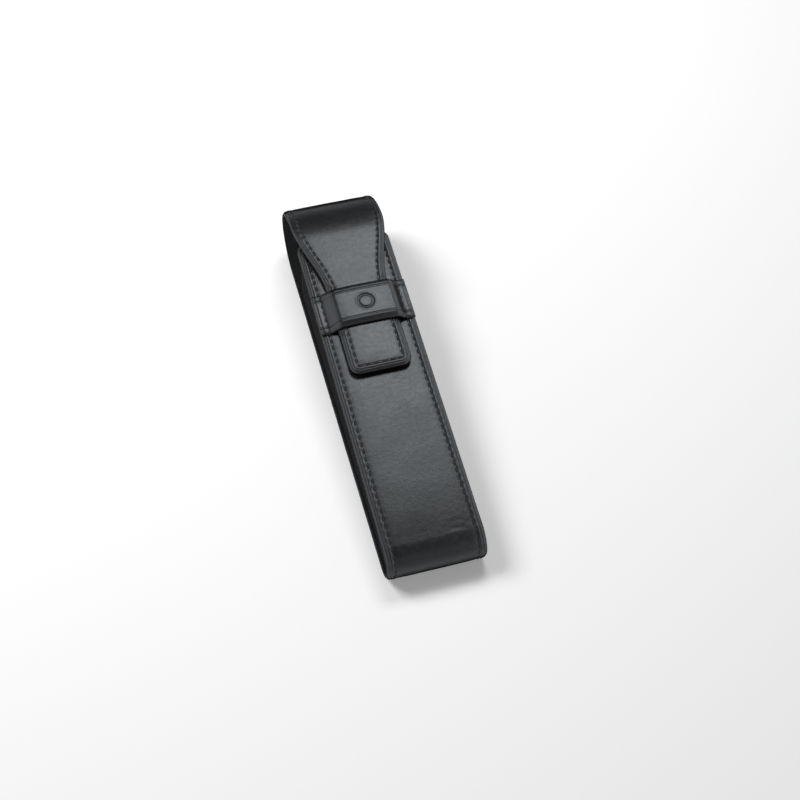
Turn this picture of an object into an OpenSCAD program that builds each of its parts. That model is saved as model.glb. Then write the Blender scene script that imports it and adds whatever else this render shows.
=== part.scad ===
// Slim leather case for one fountain pen. It lies on its back, +Z up, the rolled
// bottom end towards -Y and the crown, where the flap turns over, towards +Y.
// One strip of leather runs up the front, round the bottom, up the back and over
// the crown into the flap, whose tongue tucks under the strap on the front.
// The origin is the centre of the footprint, on the face the case lies on.

/* [Pocket] */
// Width across the sewn edges
case_w = 37.6; // [32:0.2:46]
// Length of the pocket, from the bottom end to the mouth
pocket_l = 141.5; // [125:0.5:160]
// Outer height of the case at the mouth
mouth_h = 31.5; // [26:0.5:36]
// Outer radius of the rolled bottom end
end_r = 8.8; // [7:0.2:11]

/* [Leather] */
// Thickness of the outer leather
leather_t = 1.3; // [1:0.1:1.6]
// Thickness of the stiffening boards and of the gusset leather beside them
core_t = 0.9; // [0.6:0.1:1.2]
// Thickness of the thin lining leather
lining_t = 0.6; // [0.4:0.1:0.8]

/* [Gussets] */
// Distance from the sewn edge to the outside of the gusset wall
gusset_inset = 1.2; // [0.6:0.1:2]
// Width of the gusset flange that the edge seam passes through
flange_w = 4; // [3:0.25:6]
// Depth of the leather facing inside the mouth
facing_l = 14; // [8:1:24]

/* [Crown] */
// Distance from the mouth down the front to the line where the flap turns over
crown_drop = 1.2; // [0.4:0.2:5]
// Outer radius of the crown's gentle bend, next to the flap
crown_top_r = 33.5; // [29:0.5:40]
// Angle through which the leather turns in that gentle bend, before the tight one
crown_top_turn = 42; // [34:1:48]
// Length beside the crown that board and padding leave free to bend
bend_l = 3; // [1.5:0.5:6]
// Slit left at each fold line between the stiff lengths of the crown
fold_gap = 0.1; // [0.05:0.05:0.3]

/* [Flap] */
// Thickness of the padding in the flap and of the board in the tongue
pad_t = 0.7; // [0.4:0.1:1]
// Width of the tongue
tongue_w = 24.3; // [18:0.1:26]
// Length of the tongue below the strap
tongue_l = 21; // [14:0.5:30]
// Radius of the tongue's two corners
tongue_r = 4; // [2:0.25:7]
// How far up the crown the flap's sides start to draw in
curve_rise = 9.5; // [4:0.5:12]
// How far under the strap the flap's sides reach the tongue's width
curve_tuck = 1.5; // [0:0.5:4]
// Margin between the flap's edge and the padding or board inside it
pad_margin = 3.6; // [2.5:0.1:5]
// Distance between the flap's padding and the tongue's board
pad_split = 2; // [1:0.5:4]

/* [Strap] */
// Width of the strap along the case
strap_w = 18; // [12:0.5:22]
// Distance from the mouth down to the strap's upper edge
strap_drop = 26; // [22:0.5:34]
// Thickness of the strap's leather
strap_t = 1.1; // [0.9:0.1:1.3]
// Inner radius of the bend where the strap leaves its sewn end
seat_r = 1.3; // [1.1:0.05:1.6]
// Slope of the strap's short side walls, from flat
wall_angle = 52; // [45:1:75]
// Inner radius of the lining's bend at the top of that wall
lining_bend = 0.1; // [0.05:0.05:0.4]
// Part of the strap's short side wall that its lining covers
lining_reach = 0.8; // [0.5:0.05:0.9]
// Diameter of the plain ring pressed into the strap
stamp_d = 7.4; // [5:0.1:10]
// Depth of the pressed ring
stamp_depth = 0.2; // [0.1:0.05:0.4]
// Width of the pressed ring
stamp_rim = 1.1; // [0.8:0.1:1.6]

/* [Clearances] */
// Free space between the flap and what lies under, over and beside it
run_gap = 0.3; // [0.2:0.05:0.5]

/* [Hidden] */
$fn = 96;

leather_col = "#1c1d20";
gusset_col = "#17181a";
lining_col = "#2b2725";
board_col = "#8d8472";
felt_col = "#55524d";

// The front leans: it is the plane that leaves the bottom roll as a tangent and
// passes through the mouth's outer edge.
mouth_run = pocket_l - end_r;
mouth_rise = mouth_h - end_r;
slope = atan2(mouth_rise, mouth_run) - asin(end_r / norm([mouth_run, mouth_rise]));
// Where that plane touches the roll, and its length from there to the mouth
touch_y = end_r - end_r * sin(slope);
touch_z = end_r + end_r * cos(slope);
front_l = (pocket_l - touch_y) / cos(slope);

// Depths below the outer face, through leather, core and lining
core_d = leather_t;
lining_d = leather_t + core_t;
wall_d = lining_d + lining_t;

// Heights above the front's outer face, through the flap
flap_low = run_gap;
flap_pad = flap_low + lining_t;
flap_hide = flap_pad + pad_t;
flap_top = flap_hide + leather_t;

// The crown leaves the flap's outer face in a gentle bend and runs on in a tight
// one, which ends where it touches the base.
crown_v = front_l - crown_drop;
top_c = front_point(crown_v, crown_top_r - flap_top);
crown_top_a = 90 + slope - crown_top_turn;
crown_r = (top_c[1] + crown_top_r * sin(crown_top_a)) / (1 + sin(crown_top_a));
crown_y = top_c[0] + (crown_top_r - crown_r) * cos(crown_top_a);
// Three fold lines share the turn; half a share lies before the first, and half
// after the last.
crown_turn = 180 + slope;
crown_folds = 3;
part_turn = crown_turn / crown_folds;
function fold_a(i) = -90 + part_turn * (i - 0.5);

case_l = crown_y + crown_r;
// Centres of the bottom roll and of the crown in the side view
roll_c = [end_r, end_r];
crown_c = [crown_y, crown_r];

gusset_x = case_w / 2 - gusset_inset;
gusset_in = gusset_x - core_t;
gusset_lining_in = gusset_in - lining_t;
flange_in = gusset_x - flange_w;

strap_v1 = front_l - strap_drop;
strap_v0 = strap_v1 - strap_w;
tongue_v = strap_v0 - tongue_l;
curve_v0 = strap_v1 - curve_tuck;
curve_v1 = crown_v + curve_rise;

// Strap section: height of its leather's underside, and the centres of its bends
strap_in = flap_top + run_gap;
strap_h = strap_in + lining_t;
top_r = lining_t + lining_bend;
wall_l = (strap_h - (top_r + seat_r) * (1 - cos(wall_angle))) / sin(wall_angle);
top_x = tongue_w / 2 + run_gap;
seat_x = top_x + (top_r + seat_r) * sin(wall_angle) + wall_l * cos(wall_angle);
bend_steps = 8;
curve_steps = 20;
// Least radius left on a corner that is set in from the tongue's
corner_min = 0.2;
// Turn between two points of the side view's arcs
arc_step = 5;
// How far a shape that is cut out runs past the face that it opens
cut_over = 5;

// Puts the rolled end's -Y side at half the length behind the origin
module placed() translate([0, -case_l / 2, 0]) children();

// The front's own frame: x across, y from the roll up to the mouth, z outwards
module on_front() translate([0, touch_y, touch_z]) rotate([slope, 0, 0]) children();

// A point of the side view, v up the front and d deep below its outer face
function front_point(v, d) = [
    touch_y + v * cos(slope) + d * sin(slope),
    touch_z + v * sin(slope) - d * cos(slope)
];

// A slab across the case between two distances y and two heights z
module slab(half_w, y0, y1, z0, z1)
    translate([-half_w, y0, z0]) cube([2 * half_w, y1 - y0, z1 - z0]);

// Extrudes a side view, drawn in y and z, across the case from x0 to x1
module across(x0, x1)
    translate([x0, 0, 0]) rotate([90, 0, 90]) linear_extrude(x1 - x0) children();

function reversed(points) = [for (i = [len(points) - 1 : -1 : 0]) points[i]];

// Points of an arc in the side view, seen from +X
function arc(centre, r, a0, a1) =
    let (n = ceil(abs(a1 - a0) / arc_step))
    [for (i = [0 : n]) let (a = a0 + (a1 - a0) * i / n) centre + r * [cos(a), sin(a)]];

// The pocket's side view at a depth d: down the front from front_end, round the
// bottom, to where the flat back starts
function pocket_line(d, front_end) =
    concat([front_point(front_end, d)], arc(roll_c, end_r - d, 90 + slope, 270));

// The crown's side view at a depth d, between two angles seen from +X
function crown_line(d, a0, a1) = concat(
    a0 < crown_top_a ? arc(crown_c, crown_r - d, a0, min(a1, crown_top_a)) : [],
    a1 > crown_top_a ? arc(top_c, crown_top_r - d, max(a0, crown_top_a), a1) : []
);

// Angle of half the slit at a fold line, after or before it
function slit(a) = fold_gap / 2 / (a < crown_top_a ? crown_r : crown_top_r) * 180 / PI;
function after_fold(i) = fold_a(i) + slit(fold_a(i));
function before_fold(i) = fold_a(i) - slit(fold_a(i));

// One layer of the stiff length of the crown after fold i, between two depths
module crown_layer(i, d0, d1) across(-case_w / 2, case_w / 2) polygon(concat(
    crown_line(d0, after_fold(i), before_fold(i + 1)),
    reversed(crown_line(d1, after_fold(i), before_fold(i + 1)))
));

// Side view of all that lies deeper in the pocket than d, run on past the mouth
module pocket_side(d, over = 0) polygon(concat(
    pocket_line(d, front_l + over), [[pocket_l + over, d]]));

// Plan of the flap from the crown to the tongue's end, seen square to the front
function flap_half(v) =
    v < curve_v0 ? tongue_w / 2 :
    v > curve_v1 ? case_w / 2 :
    (case_w + tongue_w) / 4
        - (case_w - tongue_w) / 4 * cos(180 * (v - curve_v0) / (curve_v1 - curve_v0));

function flap_side(inset) = concat(
    [for (i = [0 : bend_steps])
        let (a = -90 + 90 * i / bend_steps, r = max(tongue_r - inset, corner_min))
        [tongue_w / 2 - inset - r + r * cos(a), tongue_v + inset + r + r * sin(a)]],
    [for (i = [0 : curve_steps])
        let (v = curve_v0 + (curve_v1 - curve_v0) * i / curve_steps)
        [flap_half(v) - inset, v]],
    [[case_w / 2 - inset, crown_v + crown_r]]
);

module flap_plan(inset = 0) polygon(both_halves(flap_side(inset)));

// Side view line of the flap at a depth below its outer face, from a distance v0
// up to the last fold
function flap_line(d, v0) = concat(
    [front_point(v0, d - flap_top)],
    reversed(crown_line(d, after_fold(crown_folds), 90 + slope))
);

// Cuts a body to the flap's plan, set in by some margin
module trimmed(inset = 0) intersection() {
    children();
    on_front() translate([0, 0, -crown_top_r])
        linear_extrude(2 * crown_top_r) flap_plan(inset);
}

// A flat layer in the flap between two distances and two heights above the front
module flap_core(v0, v1) trimmed(pad_margin) on_front()
    slab(case_w, v0, v1, flap_pad, flap_hide);

// Half of the strap's section at a distance d outside its leather's underside
function strap_half(d) = concat(
    [[case_w / 2, d]],
    [for (i = [0 : bend_steps])
        let (a = -90 - wall_angle * i / bend_steps)
        [seat_x + (seat_r - d) * cos(a), seat_r + (seat_r - d) * sin(a)]],
    [for (i = [0 : bend_steps])
        let (a = 90 - wall_angle + wall_angle * i / bend_steps)
        [top_x + (top_r + d) * cos(a), strap_h - top_r + (top_r + d) * sin(a)]]
);

function both_halves(half) = concat(half, reversed([for (p = half) [-p[0], p[1]]]));

// Turns a section in x and height into a band along the strap's width
module strap_band() on_front() translate([0, strap_v1, 0]) rotate([90, 0, 0])
    linear_extrude(strap_w) children();

// Outer leather: front, bottom roll, back and the start of the crown
module outer_wrap() color(leather_col) placed() across(-case_w / 2, case_w / 2)
    polygon(concat(
        pocket_line(0, front_l), crown_line(0, -90, before_fold(1)),
        reversed(crown_line(core_d, -90, before_fold(1))),
        reversed(pocket_line(core_d, front_l))
    ));

// Stiffener of the front, flat between the gusset flanges
module front_board() color(board_col) placed() on_front()
    slab(flange_in, 0, front_l - lining_t, -lining_d, -core_d);

// Stiffener of the back, flat between the gusset flanges
module back_board() color(board_col) placed()
    slab(flange_in, end_r, crown_y - bend_l, core_d, lining_d);

// Soft strip that carries the boards' thickness round the bottom
module end_filler() color(felt_col) placed() across(-flange_in, flange_in)
    polygon(concat(
        arc(roll_c, end_r - core_d, 90 + slope, 270),
        arc(roll_c, end_r - lining_d, 270, 90 + slope)
    ));

// Side view of the lining; past the back board it steps down onto the leather.
module lining_side() polygon(concat(
    pocket_line(lining_d, front_l - lining_t),
    [[crown_y - bend_l, lining_d], [crown_y - bend_l, core_d]],
    crown_line(core_d, -90, before_fold(1)),
    reversed(crown_line(core_d + lining_t, -90, before_fold(1))),
    [for (d = [core_d + lining_t, wall_d]) [crown_y - bend_l + lining_t, d]],
    reversed(pocket_line(wall_d, front_l - lining_t))
));

// Lining of the pocket, as wide as the case where it leaves the gussets behind
module wrap_lining() color(lining_col) placed() {
    across(-gusset_in, gusset_in) lining_side();
    across(-case_w / 2, case_w / 2) intersection() {
        lining_side();
        translate([crown_y - bend_l, 0]) square([case_l, crown_r]);
    }
}

// Side wall on the +X side, with its flange turned in round three sides
module gusset() difference() {
    across(flange_in, gusset_x) pocket_side(core_d);
    across(flange_in - cut_over, gusset_in) pocket_side(lining_d, cut_over);
}

module gusset_lining() across(gusset_lining_in, gusset_in) pocket_side(wall_d);

module right_gusset() color(gusset_col) placed() gusset();

module left_gusset() color(gusset_col) placed() mirror([1, 0, 0]) gusset();

module right_gusset_lining() color(lining_col) placed() gusset_lining();

module left_gusset_lining() color(lining_col) placed() mirror([1, 0, 0]) gusset_lining();

// Leather strip that covers the mouth's raw edge and the lining's first stretch
module mouth_facing() color(leather_col) placed() on_front() {
    slab(gusset_lining_in, front_l - facing_l, front_l, -wall_d - lining_t, -wall_d);
    slab(gusset_lining_in, front_l - lining_t, front_l, -wall_d - lining_t, -lining_d);
    slab(flange_in, front_l - lining_t, front_l, -wall_d - lining_t, -core_d);
}

// Strap's leather, sewn down at both ends and raised over the tongue
module strap() color(leather_col) placed() difference() {
    strap_band() polygon(concat(
        both_halves(strap_half(0)), reversed(both_halves(strap_half(strap_t)))
    ));
    on_front() translate([0, (strap_v0 + strap_v1) / 2, strap_h + strap_t - stamp_depth])
        difference() {
            cylinder(d = stamp_d, h = 2 * stamp_depth);
            translate([0, 0, -stamp_depth])
                cylinder(d = stamp_d - 2 * stamp_rim, h = 4 * stamp_depth);
        }
}

// Strap's lining, under the raised part between the two sewn ends
module strap_lining() color(lining_col) placed() strap_band() polygon(concat(
    both_halves(lining_half(0)), reversed(both_halves(lining_half(-lining_t)))
));

// The lining starts part way up the wall, where it stands clear of the front.
function lining_half(d) =
    concat(
        [[top_x + (top_r + d) * cos(90 - wall_angle)
                + lining_reach * wall_l * cos(wall_angle),
            strap_h - top_r + (top_r + d) * sin(90 - wall_angle)
                - lining_reach * wall_l * sin(wall_angle)]],
        [for (i = [0 : bend_steps])
            let (a = 90 - wall_angle + wall_angle * i / bend_steps)
            [top_x + (top_r + d) * cos(a), strap_h - top_r + (top_r + d) * sin(a)]]
    );

// Length of the crown after the first fold line, and its lining
module crown_leather_upper() color(leather_col) placed() crown_layer(1, 0, core_d);

module crown_lining_upper() color(lining_col) placed()
    crown_layer(1, core_d, core_d + lining_t);

// Length of the crown after the second fold line, and its lining
module crown_leather_front() color(leather_col) placed() crown_layer(2, 0, core_d);

module crown_lining_front() color(lining_col) placed()
    crown_layer(2, core_d, core_d + lining_t);

// Leather of the last bend, the flap and the tongue in one piece
module flap_leather() color(leather_col) placed() trimmed()
    across(-case_w / 2, case_w / 2) polygon(concat(
        flap_line(0, tongue_v - cut_over), reversed(flap_line(core_d, tongue_v - cut_over))
    ));

// Soft padding between the flap's leather and lining, above the strap
module flap_padding() color(felt_col) placed()
    flap_core(strap_v1 + pad_split, crown_v - bend_l);

// Board that stiffens the tongue and the length under the strap
module tongue_board() color(board_col) placed() flap_core(tongue_v - cut_over, strap_v1);

// Lining of the flap; past the padding it steps up onto the leather
module flap_lining() color(lining_col) placed() trimmed()
    across(-case_w / 2, case_w / 2) polygon(concat(
        [for (h = [flap_low, flap_pad]) front_point(tongue_v - cut_over, -h)],
        [for (h = [flap_pad, flap_hide]) front_point(crown_v - bend_l, -h)],
        flap_line(core_d, crown_v - bend_l),
        reversed(flap_line(core_d + lining_t, crown_v - bend_l + lining_t)),
        [front_point(crown_v - bend_l + lining_t, -flap_low)]
    ));

outer_wrap();
front_board();
back_board();
end_filler();
wrap_lining();
left_gusset();
right_gusset();
left_gusset_lining();
right_gusset_lining();
mouth_facing();
strap();
strap_lining();
crown_leather_upper();
crown_lining_upper();
crown_leather_front();
crown_lining_front();
flap_leather();
flap_padding();
tongue_board();
flap_lining();
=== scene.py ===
# A slim black leather case for one fountain pen, lying on its back with its flap
# shut: the tongue at the flap's end is tucked under a strap on the front. One strip
# of leather makes the front, the bottom, the back, the crown and the flap.
from math import asin, atan2, cos, exp, hypot, pi, radians, sin

import bmesh
import bpy
from mathutils import Matrix, Vector, noise


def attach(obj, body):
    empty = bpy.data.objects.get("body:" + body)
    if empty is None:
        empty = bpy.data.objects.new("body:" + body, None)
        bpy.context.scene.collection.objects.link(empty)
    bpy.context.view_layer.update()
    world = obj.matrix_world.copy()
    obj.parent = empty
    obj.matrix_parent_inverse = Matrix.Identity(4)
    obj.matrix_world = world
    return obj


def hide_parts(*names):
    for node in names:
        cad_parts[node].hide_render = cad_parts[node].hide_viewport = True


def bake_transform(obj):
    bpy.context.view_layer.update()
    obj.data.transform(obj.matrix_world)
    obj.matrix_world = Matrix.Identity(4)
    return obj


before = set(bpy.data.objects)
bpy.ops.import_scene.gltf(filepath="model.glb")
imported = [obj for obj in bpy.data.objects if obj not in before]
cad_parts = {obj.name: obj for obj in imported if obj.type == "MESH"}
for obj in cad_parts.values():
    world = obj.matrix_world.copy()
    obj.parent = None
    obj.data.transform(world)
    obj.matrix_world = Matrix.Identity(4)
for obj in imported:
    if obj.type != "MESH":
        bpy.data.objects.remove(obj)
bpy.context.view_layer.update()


# ---------------------------------------------------------------- outer leather
# Smooth black calf, cut as one flat strip for front, bottom, back, crown and flap.
# Its edge is rounded and burnished, a crease is pressed in beside it and the seam
# lies in a shallow channel. The finished strip is then folded round the boards.
MM = 0.001
case_half = 18.8 * MM
leather_t = 1.3 * MM
pocket_len = 141.5 * MM
mouth_height = 31.5 * MM
roll_r = 8.8 * MM
crown_drop = 1.2 * MM
crown_top_r = 33.5 * MM
crown_top_turn = radians(42)
curve_rise = 9.5 * MM
tongue_half = 12.15 * MM
tongue_below_strap = 21 * MM
corner_r = 4 * MM
strap_drop = 26 * MM
strap_width = 18 * MM
curve_tuck = 1.5 * MM
flap_rise = 2.9 * MM

mouth_run = pocket_len - roll_r
mouth_rise = mouth_height - roll_r
lean = atan2(mouth_rise, mouth_run) - asin(roll_r / hypot(mouth_run, mouth_rise))
touch = Vector((roll_r - roll_r * sin(lean), roll_r + roll_r * cos(lean)))
front_len = (pocket_len - touch.x) / cos(lean)
crown_v = front_len - crown_drop
up_front = Vector((cos(lean), sin(lean)))
out_front = Vector((-sin(lean), cos(lean)))
top_centre = touch + up_front * crown_v + out_front * (flap_rise - crown_top_r)
top_start = pi / 2 + lean - crown_top_turn
crown_r = (top_centre.y + crown_top_r * sin(top_start)) / (1 + sin(top_start))
crown_y = top_centre.x + (crown_top_r - crown_r) * cos(top_start)
strap_v1 = front_len - strap_drop
strap_v0 = strap_v1 - strap_width
tongue_v = strap_v0 - tongue_below_strap
curve_v0 = strap_v1 - curve_tuck
curve_v1 = crown_v + curve_rise
shift_y = -(crown_y + crown_r) / 2

# Lengths along the strip's outer face, from the front's mouth edge
s_roll = front_len
s_back = s_roll + roll_r * (pi - lean)
s_crown = s_back + crown_y - roll_r
s_top = s_crown + crown_r * (top_start + pi / 2)
s_flap = s_top + crown_top_r * crown_top_turn
s_end = s_flap + crown_v - tongue_v
s_strap = s_flap + crown_v - (strap_v0 + strap_v1) / 2


def along(s):
    """A point (y, z) of the outer face and the direction out of it, s along the strip."""
    if s < s_roll:
        return touch + up_front * (front_len - s), out_front
    if s < s_back:
        a = pi / 2 + lean + (s - s_roll) / roll_r
        out = Vector((cos(a), sin(a)))
        return Vector((roll_r, roll_r)) + out * roll_r, out
    if s < s_crown:
        return Vector((roll_r + s - s_back, 0)), Vector((0, -1))
    if s < s_top:
        a = -pi / 2 + (s - s_crown) / crown_r
        out = Vector((cos(a), sin(a)))
        return Vector((crown_y, crown_r)) + out * crown_r, out
    if s < s_flap:
        a = top_start + (s - s_top) / crown_top_r
        out = Vector((cos(a), sin(a)))
        return top_centre + out * crown_top_r, out
    v = crown_v - (s - s_flap)
    return touch + up_front * v + out_front * flap_rise, out_front


def lay(co):
    """Folds a point of the flat strip, (across, along, above), to its place."""
    point, out = along(co.y)
    point = point + out * co.z
    return Vector((co.x, point.x + shift_y, point.y))


def up_the_front(s):
    """How far up the front a point of the flap lies, seen square to the front."""
    if s > s_flap:
        return crown_v - (s - s_flap)
    if s > s_top:
        return crown_v + crown_top_r * sin((s_flap - s) / crown_top_r)
    return crown_v + crown_top_r


def half_width(s):
    v = up_the_front(s)
    if v > curve_v1:
        return case_half
    if v < curve_v0:
        return tongue_half
    mid, swing = (case_half + tongue_half) / 2, (case_half - tongue_half) / 2
    return mid - swing * cos(pi * (v - curve_v0) / (curve_v1 - curve_v0))


def edge_distance(x, s):
    """How far a point of the strip lies inside its cut edge."""
    side = half_width(s) - abs(x)
    end = min(s, s_end - s)
    if side < corner_r and end < corner_r:
        return corner_r - hypot(corner_r - side, corner_r - end)
    return min(side, end)


def dent(d, at, width):
    return exp(-(((d - at) / width) ** 2))


def smooth(d, low, high):
    t = min(1, max(0, (d - low) / (high - low)))
    return t * t * (3 - 2 * t)


# Across the border: a rounded edge, a crease, a bead and the seam's channel
border_round, border_drop = 1.4 * MM, 0.85 * MM
border_crease, crease_deep, crease_wide = 1.5 * MM, 0.12 * MM, 0.16 * MM
bead_high = 0.14 * MM
bead_outer = (1.55 * MM, 2 * MM)
bead_inner = (2.5 * MM, 3 * MM)
pull_at, pull_deep, pull_wide = 2.4 * MM, 0.05 * MM, 0.8 * MM
seam_at, seam_deep, seam_wide = 3.2 * MM, 0.14 * MM, 0.4 * MM
puff_high = 0.12 * MM
puff_slope = (3.6 * MM, 9 * MM)
stitch_pitch = 3.08 * MM
seam_step = 0.5 * MM
seam_start = 2.2 * MM


def seam_lengths():
    """Distance along a side seam at every step up the strip."""
    table, s = [0.0], seam_start
    while s < s_end:
        table.append(table[-1] + hypot(seam_step, half_width(s + seam_step) - half_width(s)))
        s += seam_step
    return table


seam_table = seam_lengths()


def pull(s):
    """1 where a stitch pulls the leather down, -1 half way to the next."""
    at = min(max(0, (s - seam_start) / seam_step), len(seam_table) - 1.001)
    i = int(at)
    run = seam_table[i] + (seam_table[i + 1] - seam_table[i]) * (at - i)
    return cos(2 * pi * (run / stitch_pitch - 0.5))


def finish_height(e, puff, pulled=0.0):
    """The outer face's height against flat leather, e inside the cut edge."""
    drop = border_drop * (1 - min(1, e / border_round)) ** 2
    return (
        puff * smooth(e, *puff_slope)
        + bead_high * smooth(e, *bead_outer) * (1 - smooth(e, *bead_inner))
        - pull_deep * pulled * dent(e, pull_at, pull_wide)
        - crease_deep * dent(e, border_crease, crease_wide)
        - seam_deep * (1 + 0.35 * pulled) * dent(e, seam_at, seam_wide)
        - drop
    )


loose_high = 0.55 * MM
loose_before, loose_after = 22 * MM, 12 * MM
held_full, held_free = 9 * MM, 13 * MM
held_middle, held_sides = 0.15 * MM, 0.5 * MM


def slack(x, s):
    """How far the leather falls short of its path: it is loose over the filler before
    the bottom roll, and pressed down where the strap holds the tongue."""
    loose = 0.0
    if s < s_roll:
        loose = loose_high * max(0, 1 - (s_roll - s) / loose_before) ** 2
    elif s < s_back:
        loose = loose_high * (1 - smooth(s, s_roll, s_roll + loose_after))
    held = smooth(s, s_strap - held_free, s_strap - held_full) * (
        1 - smooth(s, s_strap + held_full, s_strap + held_free)
    )
    return loose + held * (held_middle + held_sides * smooth(abs(x), 8 * MM, tongue_half))


def on_back(s):
    """1 on the flat back that the case rests on, 0 elsewhere."""
    return smooth(s, s_back - 6 * MM, s_back) * (1 - smooth(s, s_crown, s_crown + 6 * MM))


# Widths in mm of the rings of faces inside the cut edge, narrowest at the crease.
# Together they stay inside the round corners, and inside the clear ends.
edge_rings = [
    0.14, 0.22, 0.28, 0.34, 0.3, 0.12, 0.1, 0.1, 0.12,
    0.2, 0.3, 0.34, 0.35, 0.29, 0.25, 0.3, 0.2,
]
clear_end = 4.4 * MM
bent_step, shaped_step, flat_step = 0.55 * MM, 0.62 * MM, 3 * MM


def stations(s0, s1):
    """Where the strip is cut across: close together where it is bent or shaped, and
    clear of its square ends, so that the rings inside the edge have room to turn."""
    out, s = [s0], s0 + clear_end
    while s < s1 - clear_end:
        out.append(s)
        if s_roll - 6 * MM < s < s_back + 4 * MM or s_crown < s < s_flap:
            s += bent_step
        elif s < s_roll or s > s_flap:
            s += shaped_step
        else:
            s += flat_step
    return out + [s1]


def panel(right, rings, rungs, skip_low=0, skip_high=0):
    """A flat face inside a side and its mirror, with rings inside its edge and a grid."""
    left = [(-x, s) for x, s in right]
    bm = bmesh.new()
    face = bm.faces.new([bm.verts.new((x, s, 0)) for x, s in right + left[::-1]])
    for width in rings:
        bmesh.ops.inset_region(
            bm, faces=[face], thickness=width * MM, use_boundary=True, use_even_offset=True
        )
    loop = [l.vert for l in face.loops]
    by_right = sorted((v for v in loop if v.co.x > 0), key=lambda v: v.co.y)
    by_left = sorted((v for v in loop if v.co.x < 0), key=lambda v: v.co.y)
    new = []
    for a, b in list(zip(by_right, by_left))[1 + skip_low : len(right) - 1 - skip_high]:
        new += bmesh.ops.connect_verts(bm, verts=[a, b])["edges"]
    bmesh.ops.subdivide_edges(bm, edges=new, cuts=rungs, use_grid_fill=True)
    bmesh.ops.recalc_face_normals(bm, faces=bm.faces)
    if sum(f.normal.z for f in bm.faces) < 0:
        bmesh.ops.reverse_faces(bm, faces=bm.faces)
    return bm


def thicken(bm, thickness):
    """Gives a flat panel its underside and its cut edge."""
    rim = [e for e in bm.edges if e.is_boundary]
    copy = bmesh.ops.duplicate(bm, geom=bm.verts[:] + bm.edges[:] + bm.faces[:])["geom"]
    under = [g for g in copy if isinstance(g, bmesh.types.BMVert)]
    below = [g for g in copy if isinstance(g, bmesh.types.BMFace)]
    low_rim = [g for g in copy if isinstance(g, bmesh.types.BMEdge) and g.is_boundary]
    bmesh.ops.translate(bm, verts=under, vec=(0, 0, -thickness))
    bmesh.ops.reverse_faces(bm, faces=below)
    bmesh.ops.bridge_loops(bm, edges=rim + low_rim)
    return bm


def leather_object(name, bm, material, place=lay):
    """Lays a flat piece in its place and makes it an object."""
    for v in bm.verts:
        v.co = place(v.co)
    mesh = bpy.data.meshes.new(name)
    for f in bm.faces:
        f.smooth = True
    bm.to_mesh(mesh)
    bm.free()
    mesh.materials.append(material)
    obj = bpy.data.objects.new(name, mesh)
    bpy.context.scene.collection.objects.link(obj)
    return obj


def finish_top(x, s, e, puff):
    """The outer face's height at a point of the strip, with its folds and stitches."""
    soft = 1 - on_back(s)
    pulled = pull(s) * soft * (s < s_end - corner_r)
    lump = noise.noise(Vector((x, s, 0)) * 90) * 0.09 * MM * smooth(e, 2 * MM, 8 * MM)
    # Faint creases where the leather turns round the bottom, deeper at its right corner
    near = smooth(s, s_roll - 16 * MM, s_roll - 2 * MM) * (
        1 - smooth(s, s_back - 8 * MM, s_back)
    )
    off_x, off_s = (x - 11 * MM) / (5 * MM), (s - s_roll - 1 * MM) / (4 * MM)
    corner = exp(-(off_x**2) - off_s**2)
    crumple = noise.noise(Vector((x * 300 - s * 200, s * 700, 3)))
    fold = crumple * (0.03 * MM * near + 0.14 * MM * corner)
    wrinkle = lump + fold * smooth(e, 1.6 * MM, 4 * MM)
    return -slack(x, s) + finish_height(e, puff * soft, pulled) + wrinkle * soft


edge_round, under_lift = 0.9 * MM, 0.3 * MM
corner_steps = 10
spare_len = 9 * MM


def strip_part(s0, s1, thickness=leather_t, puff=puff_high, rungs=16, inside=0.0):
    """A length of the strip from s0 to s1, with its finished edges."""
    start, end = s0 > 0, s1 < s_end
    marks = stations(s0 - spare_len if start else s0, s1 + spare_len if end else s1)
    if not start:
        marks = [s for s in marks if s > corner_r + 0.2 * MM]
    if not end:
        marks = [s for s in marks if s < s_end - corner_r - 0.2 * MM]
    right = [(half_width(s) - inside, s) for s in marks]
    turns = [pi / 2 * i / corner_steps for i in range(corner_steps + 1)]
    arc = [(corner_r * (1 - cos(a)), corner_r * (1 - sin(a))) for a in turns]
    if not start:
        right = [(case_half - inside - a, inside + b) for a, b in arc[::-1]] + right
    if not end:
        right += [(tongue_half - inside - a, s_end - inside - b) for a, b in arc]
    bm = panel(right, edge_rings, rungs, 0 if start else len(arc), 0 if end else len(arc))
    for cut, keep in ((s0, 1), (s1, -1)):
        if (cut == s0 and start) or (cut == s1 and end):
            bmesh.ops.bisect_plane(
                bm,
                geom=bm.verts[:] + bm.edges[:] + bm.faces[:],
                plane_co=(0, cut, 0),
                plane_no=(0, keep, 0),
                clear_inner=True,
                dist=1e-7,
            )
    thicken(bm, thickness)
    for v in bm.verts:
        x, s, h = v.co
        e = edge_distance(x, s) - inside
        if h > -thickness / 2:
            v.co.z = finish_top(x, s, e, puff)
        else:
            v.co.z = -thickness + under_lift * (1 - min(1, e / edge_round)) ** 2.2
    # The cut ends stay crisp where one length meets the next.
    for edge in bm.edges:
        ys = [v.co.y for v in edge.verts]
        for cut in (s0, s1):
            if all(abs(y - cut) < 1e-6 for y in ys):
                edge.smooth = not (s0 > 0 and cut == s0 or s1 < s_end and cut == s1)
    return bm


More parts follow.
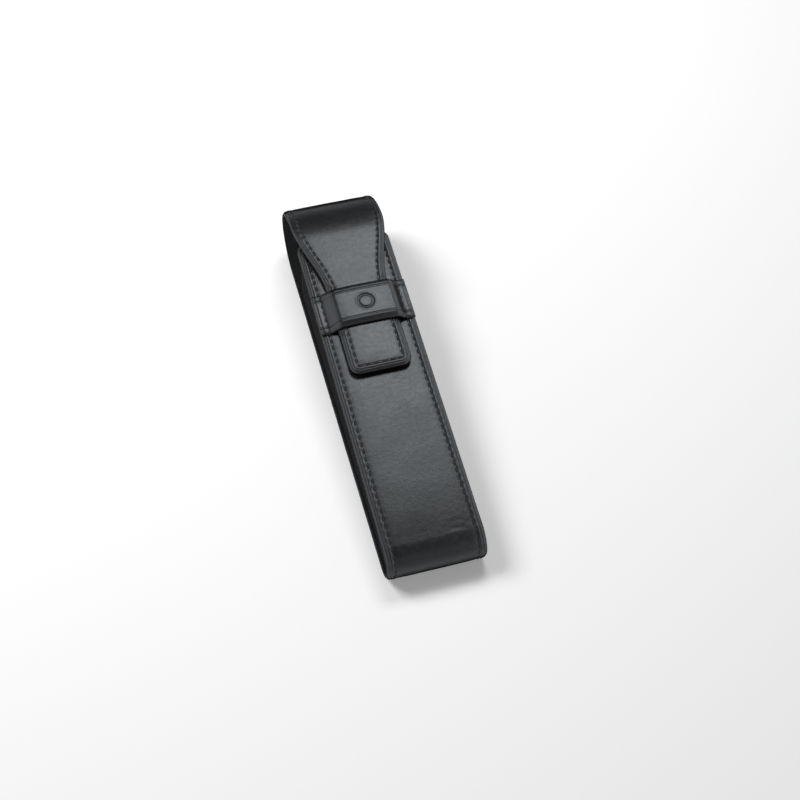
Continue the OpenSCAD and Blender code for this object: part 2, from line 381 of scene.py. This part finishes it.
# The grain of every leather here: fine pores on a slightly coarser mottle, and slow
# changes where the dye and the polish took a little more or less.
grain_group = bpy.data.node_groups.new("leather grain", "ShaderNodeTree")
for name, way, value in (
    ("Pore size", "INPUT", 2200.0),
    ("Patch size", "INPUT", 60.0),
    ("Pores", "OUTPUT", 0.0),
    ("Mottle", "OUTPUT", 0.0),
):
    made = grain_group.interface.new_socket(
        name=name, in_out=way, socket_type="NodeSocketFloat"
    )
    made.default_value = value
g = grain_group.nodes
link = grain_group.links.new
given, result = g.new("NodeGroupInput"), g.new("NodeGroupOutput")
where = g.new("ShaderNodeTexCoord")
pores = g.new("ShaderNodeTexNoise")
pores.inputs["Detail"].default_value = 1
link(where.outputs["Object"], pores.inputs["Vector"])
link(given.outputs["Pore size"], pores.inputs["Scale"])
patches = g.new("ShaderNodeTexNoise")
patches.inputs["Detail"].default_value = 4
patches.inputs["Roughness"].default_value = 0.6
link(where.outputs["Object"], patches.inputs["Vector"])
link(given.outputs["Patch size"], patches.inputs["Scale"])
mottle = g.new("ShaderNodeTexNoise")
mottle.inputs["Scale"].default_value = 620
mottle.inputs["Detail"].default_value = 1
link(where.outputs["Object"], mottle.inputs["Vector"])
broad_part = g.new("ShaderNodeMath")
broad_part.operation = "MULTIPLY"
broad_part.inputs[1].default_value = 0.4
link(patches.outputs["Fac"], broad_part.inputs[0])
both_parts = g.new("ShaderNodeMath")
both_parts.operation = "MULTIPLY_ADD"
both_parts.inputs[1].default_value = 0.6
link(mottle.outputs["Fac"], both_parts.inputs[0])
link(broad_part.outputs[0], both_parts.inputs[2])
link(both_parts.outputs[0], result.inputs["Mottle"])
grain_height = g.new("ShaderNodeMath")
grain_height.operation = "MULTIPLY_ADD"
grain_height.inputs[1].default_value = 1.5
link(mottle.outputs["Fac"], grain_height.inputs[0])
link(pores.outputs["Fac"], grain_height.inputs[2])
link(grain_height.outputs[0], result.inputs["Pores"])


def leather(name, dark, light, shine, pore=2200.0, relief=0.03, sheen=0.0, gloss=0.5):
    """A leather whose colour and roughness drift between two values over its face."""
    mat = bpy.data.materials.new(name)
    mat.use_nodes = True
    n, link = mat.node_tree.nodes, mat.node_tree.links.new
    shader = n["Principled BSDF"]
    grain = n.new("ShaderNodeGroup")
    grain.node_tree = grain_group
    grain.inputs["Pore size"].default_value = pore
    # Inputs 6 and 7 of a Mix node that is set to RGBA are its two colours.
    tone = n.new("ShaderNodeMix")
    tone.data_type = "RGBA"
    tone.inputs[6].default_value = (*dark, 1)
    tone.inputs[7].default_value = (*light, 1)
    link(grain.outputs["Mottle"], tone.inputs[0])
    link(tone.outputs[2], shader.inputs["Base Color"])
    rough = n.new("ShaderNodeMapRange")
    rough.inputs["From Min"].default_value = 0.25
    rough.inputs["From Max"].default_value = 0.75
    rough.inputs["To Min"].default_value = shine[0]
    rough.inputs["To Max"].default_value = shine[1]
    link(grain.outputs["Mottle"], rough.inputs["Value"])
    link(rough.outputs["Result"], shader.inputs["Roughness"])
    bump = n.new("ShaderNodeBump")
    bump.inputs["Strength"].default_value = 1.0
    bump.inputs["Distance"].default_value = relief * MM
    link(grain.outputs["Pores"], bump.inputs["Height"])
    link(bump.outputs["Normal"], shader.inputs["Normal"])
    shader.inputs["Specular IOR Level"].default_value = gloss
    # Seen along its surface, the leather's fine nap swallows the shine.
    low = n.new("ShaderNodeLayerWeight")
    low.inputs["Blend"].default_value = 0.5
    fade = n.new("ShaderNodeMapRange")
    fade.interpolation_type = "SMOOTHSTEP"
    fade.inputs["From Min"].default_value = 0.38
    fade.inputs["From Max"].default_value = 0.74
    fade.inputs["To Min"].default_value = gloss
    fade.inputs["To Max"].default_value = 0
    link(low.outputs["Facing"], fade.inputs["Value"])
    link(fade.outputs["Result"], shader.inputs["Specular IOR Level"])
    shader.inputs["Specular Tint"].default_value = (0.9, 0.96, 1, 1)
    shader.inputs["Sheen Weight"].default_value = sheen
    shader.inputs["Sheen Roughness"].default_value = 0.4
    return mat


calf = leather(
    "black calf", (0.001, 0.0012, 0.0016), (0.019, 0.0195, 0.021), (0.31, 0.4),
    pore=1500.0, relief=0.022,
)

# The strip is laid in four lengths. Each border but the first lies half way between two folds.
part_turn = (pi + lean) / 3


def at_turn(a):
    """Where on the strip the crown has turned through an angle."""
    tight = top_start + pi / 2
    return s_crown + crown_r * min(a, tight) + crown_top_r * max(0, a - tight)


borders = [s_crown, at_turn(part_turn), at_turn(part_turn * 2)]
lengths = [
    ("case", 0, borders[0], None),
    ("crown_back", borders[0], borders[1], ("case", "crown_upper")),
    ("crown_top", borders[1], borders[2], ("crown_upper", "crown_front")),
    ("flap", borders[2], s_end, ("crown_front", "flap")),
]
leather_nodes = {
    "case": "outer_wrap",
    "crown_back": "crown_leather_upper",
    "crown_top": "crown_leather_front",
    "flap": "flap_leather",
}


def follow(obj, bodies):
    """Rides the case, or, for a length between two bodies, is only baked in place."""
    if bodies is None:
        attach(obj, "case")
        return
    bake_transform(obj)


for name, s0, s1, bodies in lengths:
    part = leather_object(f"{name}_leather", strip_part(s0, s1), calf)
    follow(part, bodies)
    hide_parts(leather_nodes[name])


# ------------------------------------------------------------------ edge thread
# Waxed black polyester thread in a lockstitch all round the strip, 3.1 mm to the
# stitch; each stitch is a short rice-grain of thread that dives at both ends. The
# seam also holds the strap's ends, which lie on the front.
stitch_len = 2.3 * MM
stitch_slant = 0.1
stitch_proud, back_sunk = 0.02 * MM, 0.28 * MM
thread_r = 0.31 * MM
strap_t = 1.1 * MM


def thread_material():
    mat = bpy.data.materials.new("waxed thread")
    mat.use_nodes = True
    n, link = mat.node_tree.nodes, mat.node_tree.links.new
    shader = n["Principled BSDF"]
    where = n.new("ShaderNodeTexCoord")
    twist = n.new("ShaderNodeTexWave")
    twist.bands_direction = "DIAGONAL"
    twist.inputs["Scale"].default_value = 1400
    twist.inputs["Distortion"].default_value = 1.5
    link(where.outputs["Object"], twist.inputs["Vector"])
    tone = n.new("ShaderNodeMix")
    tone.data_type = "RGBA"
    tone.inputs[6].default_value = (0.006, 0.006, 0.0065, 1)
    tone.inputs[7].default_value = (0.018, 0.018, 0.02, 1)
    link(twist.outputs["Fac"], tone.inputs[0])
    link(tone.outputs[2], shader.inputs["Base Color"])
    bump = n.new("ShaderNodeBump")
    bump.inputs["Distance"].default_value = 0.05 * MM
    link(twist.outputs["Fac"], bump.inputs["Height"])
    link(bump.outputs["Normal"], shader.inputs["Normal"])
    shader.inputs["Roughness"].default_value = 0.6
    shader.inputs["Specular IOR Level"].default_value = 0.4
    return mat


thread = thread_material()


def seam_line(side):
    """Points of the edge seam on one side, from the mouth to the tongue's middle."""
    points, s = [], seam_start
    while s < s_end - corner_r:
        points.append((side * (half_width(s) - seam_at), s))
        s += seam_step
    r = corner_r - seam_at
    turns = 8
    for i in range(1, turns + 1):
        a = pi / 2 * i / turns
        points.append((
            side * (tongue_half - corner_r + r * cos(a)),
            s_end - corner_r + r * sin(a),
        ))
    points.append((0, s_end - seam_at))
    return points


def stitches(points):
    """Middles and directions of the stitches along a line of points."""
    out, carry = [], stitch_pitch / 2
    for (x0, s0), (x1, s1) in zip(points, points[1:]):
        step = hypot(x1 - x0, s1 - s0)
        while carry <= step:
            t = carry / step
            out.append((x0 + (x1 - x0) * t, s0 + (s1 - s0) * t, atan2(s1 - s0, x1 - x0)))
            carry += stitch_pitch
        carry -= step
    return out


def sew(bm, x, s, turn, height):
    """One stitch, lying along the flat strip."""
    made = bmesh.ops.create_uvsphere(bm, u_segments=8, v_segments=6, radius=1)["verts"]
    shape = (
        Matrix.Translation((x, s, height))
        @ Matrix.Rotation(turn + stitch_slant, 4, "Z")
        @ Matrix.Rotation(pi / 2, 4, "Y")
        @ Matrix.Diagonal((thread_r, thread_r * 1.1, stitch_len / 2, 1))
    )
    bmesh.ops.transform(bm, matrix=shape, verts=made)


all_stitches = stitches(seam_line(1)) + stitches(seam_line(-1))
strap_s = (s_roll - strap_v1, s_roll - strap_v0)
for name, s0, s1, bodies in lengths:
    bm = bmesh.new()
    for x, s, turn in all_stitches:
        if s0 <= s < s1:
            height = finish_height(seam_at, 0) + stitch_proud
            height -= back_sunk * on_back(s) + slack(x, s)
            if strap_s[0] < s < strap_s[1]:
                height += strap_t
            sew(bm, x, s, turn, height)
    seam = leather_object(f"{name}_thread", bm, thread)
    follow(seam, bodies)


# ----------------------------------------------------------------------- strap
# A band of the same calf, lined, with creased long edges that turn down. Its ends
# are caught in the edge seams; between them it rises over the flap's tongue, and a
# plain round stamp is pressed into its top.
strap_top, strap_arch = 3.8 * MM, 0.3 * MM
half_band = strap_width / 2
seat_x = 15.4 * MM
crest_x = {-1: 9.8 * MM, 1: 11.6 * MM}
turn_down, turn_wide = 0.85 * MM, 2.8 * MM
strap_fine = 0.1 * MM
crease_at = 1.05 * MM
ring_x, ring_r, ring_w = 1.1 * MM, 2.95 * MM, 0.4 * MM
ring_deep, ring_lip, ring_dome = 0.3 * MM, 0.08 * MM, 0.1 * MM


def strap_under(x, side):
    """Height of the strap's underside above the front, x out from the middle."""
    arch = strap_arch * (abs(x) / crest_x[side]) ** 3
    return (strap_top - arch) * (1 - smooth(abs(x), crest_x[side], seat_x))


def strap_path(side):
    """Distance along the strap against x, from its middle to its sewn end."""
    table, run, x = [(0.0, 0.0)], 0.0, 0.0
    while x < case_half:
        step = hypot(strap_fine, strap_under(x + strap_fine, side) - strap_under(x, side))
        x, run = x + strap_fine, run + step
        table.append((run, x))
    return table


strap_tables = {side: strap_path(side) for side in (-1, 1)}
strap_half_len = strap_tables[1][-1][0]


def strap_x(run):
    """How far out from the middle a point of the strap lies."""
    table = strap_tables[1 if run >= 0 else -1]
    run = abs(run) * table[-1][0] / strap_half_len
    for (r0, x0), (r1, x1) in zip(table, table[1:]):
        if run <= r1:
            return x0 + (x1 - x0) * (run - r0) / (r1 - r0)
    return table[-1][1]


def lay_strap(co):
    """Puts a point of the flat strap, (along it, across it, above), over the flap."""
    side = 1 if co.x >= 0 else -1
    x = strap_x(co.x)
    rise = strap_under(x + strap_fine, side) - strap_under(x - strap_fine, side)
    norm = hypot(2 * strap_fine, rise)
    out_x, out_h = -rise / norm, 2 * strap_fine / norm
    under = strap_under(x, side)
    fall = turn_down * max(0, 1 - (half_band - abs(co.y)) / turn_wide) ** 2
    under -= fall * smooth(under, 0.6 * MM, 2.6 * MM)
    x, h = x + out_x * co.z, under + out_h * co.z
    v = (strap_v0 + strap_v1) / 2 + co.y
    p = touch + up_front * v + out_front * h
    return Vector((side * x, p.x + shift_y, p.y))


def strap_sheet(half_len, half_wide, cuts):
    """A flat grid of faces, along and across the strap."""
    bm = bmesh.new()
    bmesh.ops.create_grid(bm, x_segments=cuts[0], y_segments=cuts[1], size=1)
    bmesh.ops.scale(bm, vec=(half_len, half_wide, 1), verts=bm.verts)
    return bm


bm = strap_sheet(strap_half_len, half_band, (130, 60))
thicken(bm, strap_t)
for v in bm.verts:
    x, y, h = v.co
    from_side, from_end = half_band - abs(y), strap_half_len - abs(x)
    e = min(from_side, from_end)
    if h > -strap_t / 2:
        from_seam_edge = case_half - abs(strap_x(x))
        from_ring = hypot(x - ring_x, y)
        rounding = -0.45 * MM * (1 - min(1, e / edge_round)) ** 2.2
        creases = (
            0.1 * MM * dent(from_side, 2 * MM, 0.7 * MM)
            - 0.2 * MM * dent(from_side, 2.9 * MM, 0.3 * MM)
            - 0.26 * MM * dent(from_seam_edge, crease_at, 0.24 * MM)
            - 0.1 * MM * dent(from_seam_edge, seam_at, 0.42 * MM)
        )
        stamp = (
            -ring_deep * dent(from_ring, ring_r, ring_w)
            + ring_lip * dent(from_ring, ring_r + 0.9 * MM, 0.4 * MM)
            + ring_dome * dent(from_ring, 0, 1.6 * MM)
        )
        lump = noise.noise(Vector((x, y, 7)) * 150) * 0.06 * MM
        v.co.z = strap_t + rounding + creases + stamp + lump
    else:
        v.co.z = 0.2 * MM * (1 - min(1, e / edge_round)) ** 2.2
strap = leather_object("strap_leather", bm, calf, lay_strap)
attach(strap, "case")
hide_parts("strap")


# --------------------------------------------------------------------- linings
# Thin black lining leather with a napped face, glued inside the strip and sewn
# in with it: pocket, crown, flap and strap. It stops just short of the cut edge.
lining = leather(
    "lining leather", (0.005, 0.0048, 0.0046), (0.012, 0.0115, 0.011), (0.75, 0.85),
    pore=3200.0, relief=0.03, sheen=0.05,
)
lining_t = 0.6 * MM
lining_inset = 0.15 * MM
lining_start = 0.6 * MM
glue_gap = 0.01 * MM
lining_nodes = {
    "case": "wrap_lining",
    "crown_back": "crown_lining_upper",
    "crown_top": "crown_lining_front",
    "flap": "flap_lining",
}
pad_t = 0.7 * MM
core_t = 0.9 * MM
gusset_in = 16.7 * MM


def lining_depth(x, s):
    """Depth of the lining's outer side below the strip's outer face."""
    if s < s_crown + 4 * MM:
        board = 1 - smooth(s, s_crown - 3 * MM, s_crown + 4 * MM)
        return leather_t + core_t * board
    padding = smooth(s, s_flap - 2 * MM, s_flap + 5 * MM)
    return leather_t + pad_t * padding * smooth(edge_distance(x, s), 1.4 * MM, 4.5 * MM)


for name, s0, s1, bodies in lengths:
    bm = strip_part(
        max(s0, lining_start), s1,
        thickness=lining_t, puff=0.0, rungs=10, inside=lining_inset,
    )
    for v in bm.verts:
        x, s, h = v.co
        deep = h < -lining_t / 2
        v.co.z = -lining_depth(x, s) - glue_gap - (lining_t if deep else 0.0)
        # The pocket's lining stops between the gussets and widens under the crown.
        if name == "case":
            past = smooth(s, s_crown - 12 * MM, s_crown - 8 * MM)
            full = case_half - lining_inset
            v.co.x = x * (gusset_in + (full - gusset_in) * past) / full
    part = leather_object(f"{name}_lining", bm, lining)
    follow(part, bodies)
    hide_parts(lining_nodes[name])

backing_half_len, backing_margin = 15 * MM, 2.2 * MM
bm = strap_sheet(backing_half_len, half_band - backing_margin, (60, 12))
thicken(bm, lining_t)
for v in bm.verts:
    v.co.z = -2 * glue_gap if v.co.z > -lining_t / 2 else -lining_t
strap_back = leather_object("strap_backing", bm, lining, lay_strap)
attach(strap_back, "case")
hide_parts("strap_lining")


# --------------------------------------------------------------------- gussets
# The side walls are thin matt leather, one on each side, folded in along the front,
# the bottom and the back, where the edge seam catches the fold.
gusset_leather = leather(
    "gusset leather", (0.014, 0.014, 0.015), (0.034, 0.034, 0.035), (0.5, 0.62),
    pore=1500.0, relief=0.03, gloss=0.35,
)
gusset_x = 17.6 * MM
gusset_rings = [0.15, 0.2, 0.3, 0.4, 0.5, 0.6, 0.8, 1.0]
fold_r = 1.4 * MM
wall_short = 1.3 * MM


def side_outline(depth, over):
    """Matching points up the front and along the back of the pocket's side view."""
    r = roll_r - depth
    top, low = [], []
    turns, cuts = 14, 30
    sweep, mid = (pi - lean) / 2, pi + lean / 2
    for i in range(turns):
        a = sweep * (i + 0.5) / turns
        for line, sign in ((top, -1), (low, 1)):
            line.append((roll_r + r * cos(mid + sign * a), roll_r + r * sin(mid + sign * a)))
    for i in range(1, cuts + 1):
        p = touch + up_front * (front_len + over) * i / cuts - out_front * depth
        top.append((p.x, p.y))
        low.append((p.x, depth))
    return top, low


def wall(name, side, outer_x, thickness, depth, rings, material, bow=0.0):
    """A side wall: made flat in its side view, then stood up at outer_x. A wall that
    bows also has rounded folds along its edges and slight lumps."""
    top, low = side_outline(depth, 6 * MM)
    bm = bmesh.new()
    ring = [bm.verts.new((y, z, 0)) for y, z in top + low[::-1]]
    face = bm.faces.new(ring)
    bm.normal_update()
    if face.normal.z < 0:
        face.normal_flip()
    for width in rings:
        bmesh.ops.inset_region(
            bm, faces=[face], thickness=width * MM, use_boundary=True, use_even_offset=True
        )
    loop = [l.vert for l in face.loops]
    count = len(top)
    start = min(range(len(loop)), key=lambda i: (loop[i].co - ring[0].co).length)
    loop = loop[start:] + loop[:start]
    if (loop[1].co - ring[1].co).length > (loop[-1].co - ring[1].co).length:
        loop = [loop[0]] + loop[:0:-1]
    new = []
    for i in range(1, count - 1):
        new += bmesh.ops.connect_verts(bm, verts=[loop[i], loop[2 * count - 1 - i]])["edges"]
    bmesh.ops.subdivide_edges(bm, edges=new, cuts=5, use_grid_fill=True)
    bmesh.ops.bisect_plane(
        bm,
        geom=bm.verts[:] + bm.edges[:] + bm.faces[:],
        plane_co=(pocket_len - wall_short, 0, 0),
        plane_no=(-1, 0, 0),
        clear_inner=True,
    )
    bm.normal_update()
    bmesh.ops.recalc_face_normals(bm, faces=bm.faces)
    if sum(f.normal.z for f in bm.faces) < 0:
        bmesh.ops.reverse_faces(bm, faces=bm.faces)
    thicken(bm, thickness)
    for v in bm.verts:
        y, z, h = v.co
        x = outer_x + h
        if bow:
            if y < roll_r:
                e = (roll_r - depth) - hypot(y - roll_r, z - roll_r)
            else:
                under_front = touch.y + (y - touch.x) * sin(lean) / cos(lean) - z
                e = min(z - depth, under_front * cos(lean) - depth)
            e = max(0, e)
            if e < fold_r:
                x -= fold_r - (fold_r**2 - (fold_r - e) ** 2) ** 0.5
            x -= bow * smooth(e, fold_r, 9 * MM)
            x += noise.noise(Vector((y, z, side)) * 60) * 0.12 * MM
        v.co = Vector((side * x, y + shift_y, z))
    if side < 0:
        bmesh.ops.reverse_faces(bm, faces=bm.faces)
    return leather_object(name, bm, material, lambda co: co)


for side, word in ((1, "right"), (-1, "left")):
    gusset = wall(
        f"{word}_gusset_wall", side, gusset_x, core_t, leather_t + 2 * glue_gap,
        gusset_rings, gusset_leather, bow=0.5 * MM,
    )
    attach(gusset, "case")
    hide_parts(f"{word}_gusset")
    inner = wall(
        f"{word}_gusset_facing", side, gusset_in, lining_t, leather_t + core_t + lining_t,
        [0.5], lining,
    )
    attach(inner, "case")
    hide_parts(f"{word}_gusset_lining")


# ---------------------------------------------------------------- mouth facing
# A strip of the same thin leather that turns over the front's raw edge at the
# mouth and runs a little way down inside, glued and caught in the seams.
facing_len, facing_half = 14 * MM, 16.05 * MM
facing_depth = leather_t + core_t + lining_t + 3 * glue_gap
bm = bmesh.new()
bmesh.ops.create_grid(bm, x_segments=30, y_segments=30, size=1)
bmesh.ops.scale(bm, vec=(facing_half, facing_len / 2, 1), verts=bm.verts)
bmesh.ops.translate(
    bm, verts=bm.verts, vec=(0, facing_len / 2 + 2 * glue_gap, -facing_depth)
)
thicken(bm, lining_t)
facing = leather_object("mouth_edge_facing", bm, gusset_leather)
rim_high = core_t + 2 * lining_t
bm = bmesh.new()
bmesh.ops.create_grid(bm, x_segments=30, y_segments=4, size=1)
bmesh.ops.scale(bm, vec=(facing_half, rim_high / 2, 1), verts=bm.verts)
bmesh.ops.rotate(
    bm, cent=(0, 0, 0), matrix=Matrix.Rotation(pi / 2, 3, "X"), verts=bm.verts
)
bmesh.ops.translate(bm, verts=bm.verts, vec=(0, 0, -leather_t - rim_high / 2))
bmesh.ops.solidify(bm, geom=bm.faces[:], thickness=-lining_t)
rim_piece = leather_object("mouth_edge_rim", bm, gusset_leather)
for obj in (facing, rim_piece):
    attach(obj, "case")
    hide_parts("mouth_facing")


# ------------------------------------------------------------------ inner cores
# Hidden between leather and lining: bonded leather boards in front, back and
# tongue, and thin felt in the flap and round the bottom.
board = leather(
    "bonded board", (0.2, 0.17, 0.12), (0.3, 0.26, 0.2), (0.8, 0.9), pore=900.0, relief=0.05
)
felt = leather(
    "felt", (0.07, 0.07, 0.065), (0.11, 0.11, 0.1), (0.9, 0.95), pore=4000.0, relief=0.1, sheen=0.2
)
for names, finish in (
    (("front_board", "back_board", "tongue_board"), board),
    (("end_filler", "flap_padding"), felt),
):
    for node in names:
        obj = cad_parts[node]
        obj.data.materials.clear()
        obj.data.materials.append(finish)


# ---------------------------------------------------------- floor, light, camera
# A plain white table top, one soft light overhead and behind, and a side light from
# the upper left that throws the soft shadow to the right. Pale cards stand round the
# table and show only in the leather's shine.
table_half = 0.5
bm = bmesh.new()
bmesh.ops.create_grid(bm, x_segments=1, y_segments=1, size=table_half)
mesh = bpy.data.meshes.new("table_top")
bm.to_mesh(mesh)
bm.free()
table = bpy.data.objects.new("table_top", mesh)
bpy.context.scene.collection.objects.link(table)
paper = bpy.data.materials.new("white table")
paper.use_nodes = True
n, link = paper.node_tree.nodes, paper.node_tree.links.new
shader = n["Principled BSDF"]
shader.inputs["Roughness"].default_value = 0.9
shader.inputs["Specular IOR Level"].default_value = 0.1
where = n.new("ShaderNodeTexCoord")
mottle = n.new("ShaderNodeTexNoise")
mottle.inputs["Scale"].default_value = 3
link(where.outputs["Object"], mottle.inputs["Vector"])
tone = n.new("ShaderNodeMix")
tone.data_type = "RGBA"
tone.inputs[6].default_value = (0.82, 0.82, 0.825, 1)
tone.inputs[7].default_value = (0.84, 0.84, 0.845, 1)
link(mottle.outputs["Fac"], tone.inputs[0])
link(tone.outputs[2], shader.inputs["Base Color"])
# The table looks this much whiter to the camera and in reflections.
rays = n.new("ShaderNodeLightPath")
looked_at = n.new("ShaderNodeMath")
looked_at.operation = "MAXIMUM"
link(rays.outputs["Is Camera Ray"], looked_at.inputs[0])
link(rays.outputs["Is Glossy Ray"], looked_at.inputs[1])
whiter = n.new("ShaderNodeMath")
whiter.operation = "MULTIPLY"
whiter.inputs[1].default_value = 0.235
link(looked_at.outputs[0], whiter.inputs[0])
glow = n.new("ShaderNodeEmission")
glow.inputs["Color"].default_value = (1, 1, 1, 1)
link(whiter.outputs[0], glow.inputs["Strength"])
both = n.new("ShaderNodeAddShader")
link(shader.outputs[0], both.inputs[0])
link(glow.outputs[0], both.inputs[1])
link(both.outputs[0], n["Material Output"].inputs["Surface"])
mesh.materials.append(paper)


def softbox(name, place, aim, size, power, mirrored=True):
    """A rectangular lamp; one that isn't mirrored doesn't show in the shine."""
    lamp = bpy.data.lights.new(name, "AREA")
    lamp.shape = "RECTANGLE"
    lamp.size, lamp.size_y = size
    lamp.energy = power
    obj = bpy.data.objects.new(name, lamp)
    obj.location = place
    obj.rotation_euler = (Vector(aim) - Vector(place)).to_track_quat("-Z", "Y").to_euler()
    obj.visible_glossy = mirrored
    bpy.context.scene.collection.objects.link(obj)


softbox("top light", (0.14, 0.345, 0.7), (0.14, 0.345, 0), (0.3, 0.27), 2.4)
softbox("side light", (-0.48, 0.33, 0.74), (0, 0, 0), (0.38, 0.38), 5.9, mirrored=False)

world = bpy.data.worlds.new("studio")
bpy.context.scene.world = world
world.use_nodes = True
n, link = world.node_tree.nodes, world.node_tree.links.new
back = n["Background"]
back.inputs["Color"].default_value = (0.97, 0.98, 1, 1)
rays = n.new("ShaderNodeLightPath")
where = n.new("ShaderNodeTexCoord")
axes = n.new("ShaderNodeSeparateXYZ")
link(where.outputs["Generated"], axes.inputs[0])
# Two cards at the sides and a faint one in front, each fading in between two values
# of the direction's X or Y; all of them fade out towards the far end of the table.
cards = []
for axis, first, full, strength in (
    ("X", 0.3, 0.55, 1.5),
    ("X", -0.42, -0.7, 1.5),
    ("Y", -0.5, -0.85, 0.4),
):
    card = n.new("ShaderNodeMapRange")
    card.interpolation_type = "SMOOTHSTEP"
    card.inputs["From Min"].default_value = first
    card.inputs["From Max"].default_value = full
    card.inputs["To Max"].default_value = strength
    link(axes.outputs[axis], card.inputs["Value"])
    cards.append(card.outputs["Result"])
all_cards = cards[0]
for card in cards[1:]:
    add = n.new("ShaderNodeMath")
    add.operation = "ADD"
    link(all_cards, add.inputs[0])
    link(card, add.inputs[1])
    all_cards = add.outputs[0]
fill_level = 0.13
room = n.new("ShaderNodeMath")
room.operation = "MULTIPLY_ADD"
room.inputs[2].default_value = fill_level
link(all_cards, room.inputs[0])
link(rays.outputs["Is Glossy Ray"], room.inputs[1])
far_end = n.new("ShaderNodeMapRange")
far_end.interpolation_type = "SMOOTHSTEP"
far_end.inputs["From Min"].default_value = 0.55
far_end.inputs["From Max"].default_value = 0.85
far_end.inputs["To Min"].default_value = 1.0
far_end.inputs["To Max"].default_value = 0.2
link(axes.outputs["Y"], far_end.inputs["Value"])
dimmed = n.new("ShaderNodeMath")
dimmed.operation = "MULTIPLY"
link(room.outputs[0], dimmed.inputs[0])
link(far_end.outputs["Result"], dimmed.inputs[1])
level = n.new("ShaderNodeMath")
level.operation = "MAXIMUM"
link(dimmed.outputs[0], level.inputs[0])
link(rays.outputs["Is Camera Ray"], level.inputs[1])
link(level.outputs[0], back.inputs["Strength"])

# The camera: its focal length for a frame 800 wide, its axes, and its place measured
# from the bottom end of the case.
focal_px, frame_px = 1402, 800
eye = bpy.data.cameras.new("camera")
eye.sensor_width = 36
eye.lens = eye.sensor_width * focal_px / frame_px
camera = bpy.data.objects.new("camera", eye)
right = Vector((0.9636942, -0.26655775, 0.01550666))
up = Vector((0.2099045, 0.79220841, 0.57301478))
back_way = Vector((-0.16502604, -0.54895611, 0.81939832))
spot = right * -0.01352 + up * 0.06455 + back_way * 0.511
spot.y += shift_y
view_axes = Matrix((right, up, back_way)).transposed()
camera.matrix_world = Matrix.Translation(spot) @ view_axes.to_4x4()
bpy.context.scene.collection.objects.link(camera)
bpy.context.scene.camera = camera
bpy.context.scene.view_settings.view_transform = "Standard"
